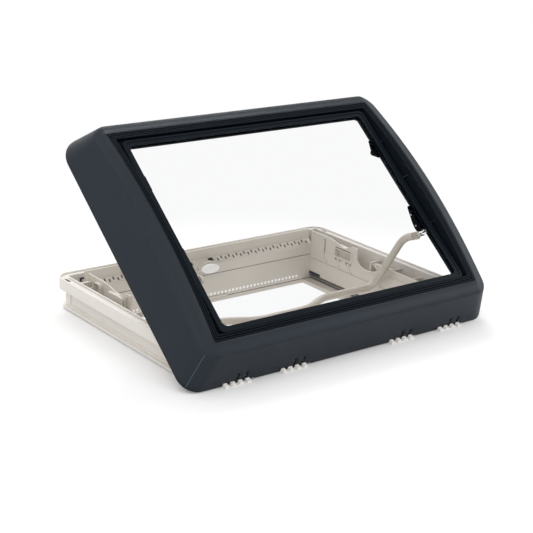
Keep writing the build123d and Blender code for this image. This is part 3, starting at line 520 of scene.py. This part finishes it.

# A blind's end block, a strip in the rim and a seal behind the rear panel, at each rear corner;
# the seal's darkness is painted shade
corner_bars = (
    ("blind_block", (314.8, 184, -29.4), (316.1, 224.4, -23), "black_plastic"),
    ("rim_strip", (361.6, 227, 68.4), (366.6, 242, 69.1), "black_rubber"),
)
seal_shade_outline = ((324, 62), (314, 62), (293, 41), (293, 36), (302, 36), (324, 55))
seal_shade_front = 252.2
seal_shade_back = 253.1
for side, name in sides:
    for title, low, high, slot in corner_bars:
        x_from, x_to = sorted((side * low[0], side * high[0]))
        low = (x_from, *low[1:])
        high = (x_to, *high[1:])
        slab(f"{title}_{name}", low, high, slot, "base", look=navy_look)
    # The dark seal partly stands for the shade in the gap behind the panel's end: painted shade
    low = [Vector((side * x, seal_shade_front, z)) / 1000 for x, z in seal_shade_outline]
    high = [Vector((side * x, seal_shade_back, z)) / 1000 for x, z in seal_shade_outline]
    prism(
        f"corner_seal_shade_{name}", low, high, "black_rubber", "base", bevel=0.0003, look=navy_look,
    )

# Folded blinds, which the pull bars draw out
fold_count = 60
fold_margin = 0.0002
for name, way, slot in (("blackout", 1, "blackout_cloth"), ("flyscreen", -1, "net_cloth")):
    low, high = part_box(f"{name}_pack")
    near, far = sorted((abs(low[1]), abs(high[1])))
    step = (far - near) / (2 * fold_count)
    verts = []
    for i in range(2 * fold_count + 1):
        y = way * (near + step * i)
        z = high[2] - fold_margin if i % 2 else low[2] + fold_margin
        verts += [(low[0], y, z), (high[0], y, z)]
    faces = [(2 * i, 2 * i + 1, 2 * i + 3, 2 * i + 2) for i in range(2 * fold_count)]
    blind = mesh_piece(f"{name}_blind", verts, faces, slot)
    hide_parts(f"{name}_pack")
    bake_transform(blind)


def seen_directly(tree):
    """Return an output that is 1 for what the camera sees, directly or in metal or glass."""
    path = tree.nodes.new("ShaderNodeLightPath")
    through = combine(
        tree, "MAXIMUM", path.outputs["Is Camera Ray"], path.outputs["Is Transmission Ray"],
    )
    return combine(tree, "MAXIMUM", through, path.outputs["Is Glossy Ray"])


# Roof skin as the floor, cut out for the hatch's neck
glow_near = 0.09
shadow_centre = (-0.05, -0.2, 0)
shadow_reach = (0.5, 1.0)
reach = 7.0
hole_x = 0.35
hole_y = 0.25
floor_z = -0.0004
outer = [(-reach, -reach), (reach, -reach), (reach, reach), (-reach, reach)]
inner = [(-hole_x, -hole_y), (hole_x, -hole_y), (hole_x, hole_y), (-hole_x, hole_y)]
floor_verts = [(x, y, floor_z) for x, y in outer + inner]
floor_faces = [(i, (i + 1) % 4, 4 + (i + 1) % 4, 4 + i) for i in range(4)]
floor_mesh = bpy.data.meshes.new("floor")
floor_mesh.from_pydata(floor_verts, [], floor_faces)
floor = bpy.data.objects.new("floor", floor_mesh)
bpy.context.scene.collection.objects.link(floor)
floor_material = bpy.data.materials.new("floor")
floor_material.use_nodes = True
tree = floor_material.node_tree
tree.nodes.remove(tree.nodes["Principled BSDF"])
paint = node(tree, "ShaderNodeBsdfDiffuse", Color=(0.80, 0.80, 0.80, 1))
glow = node(tree, "ShaderNodeEmission", Color=(1, 1, 1, 1))
backdrop = node(tree, "ShaderNodeEmission", Color=(1, 1, 1, 1), Strength=1.0)
seen = seen_directly(tree)
place = tree.nodes.new("ShaderNodeTexCoord")
away = tree.nodes.new("ShaderNodeVectorMath")
away.operation = "DISTANCE"
away.inputs[1].default_value = shadow_centre
tree.links.new(place.outputs["Object"], away.inputs[0])
rise = node(tree, "ShaderNodeMapRange", From_Min=shadow_reach[0], From_Max=shadow_reach[1])
rise.interpolation_type = "SMOOTHSTEP"
tree.links.new(away.outputs["Value"], rise.inputs["Value"])
plain = combine(tree, "MULTIPLY", rise.outputs["Result"], seen)
tree.links.new(combine(tree, "MULTIPLY", seen, glow_near), glow.inputs["Strength"])
both = tree.nodes.new("ShaderNodeAddShader")
tree.links.new(paint.outputs["BSDF"], both.inputs[0])
tree.links.new(glow.outputs["Emission"], both.inputs[1])
fade = tree.nodes.new("ShaderNodeMixShader")
tree.links.new(plain, fade.inputs["Fac"])
tree.links.new(both.outputs["Shader"], fade.inputs[1])
tree.links.new(backdrop.outputs["Emission"], fade.inputs[2])
tree.links.new(fade.outputs["Shader"], tree.nodes["Material Output"].inputs["Surface"])
floor_mesh.materials.append(floor_material)

# Light: a pale room and soft lamps
world = bpy.data.worlds.new("room")
bpy.context.scene.world = world
world.use_nodes = True
tree = world.node_tree
seen = seen_directly(tree)
room = node(tree, "ShaderNodeBackground", Color=(1, 1, 1, 1), Strength=0.85)
white = node(tree, "ShaderNodeBackground", Color=(1, 1, 1, 1), Strength=1.0)
mix = tree.nodes.new("ShaderNodeMixShader")
tree.links.new(seen, mix.inputs["Fac"])
tree.links.new(room.outputs["Background"], mix.inputs[1])
tree.links.new(white.outputs["Background"], mix.inputs[2])
tree.links.new(mix.outputs["Shader"], tree.nodes["World Output"].inputs["Surface"])


lamp_aim = Vector((0, 0, 0.1))


def lamp(name, place, width, height, power):
    """Add a soft rectangular lamp pointed at the hatch."""
    data = bpy.data.lights.new(name, "AREA")
    data.shape = "RECTANGLE"
    data.size = width
    data.size_y = height
    data.energy = power
    made = bpy.data.objects.new(name, data)
    made.location = place
    made.rotation_euler = (lamp_aim - Vector(place)).to_track_quat("-Z", "Y").to_euler()
    bpy.context.scene.collection.objects.link(made)


lamp("key", (-2.2, -1.6, 3.2), width=2.4, height=2.4, power=52)
lamp("back", (1.0, 2.6, 2.6), width=3.0, height=1.6, power=62)
lamp("side", (2.8, -1.0, 1.6), width=1.6, height=1.6, power=23)
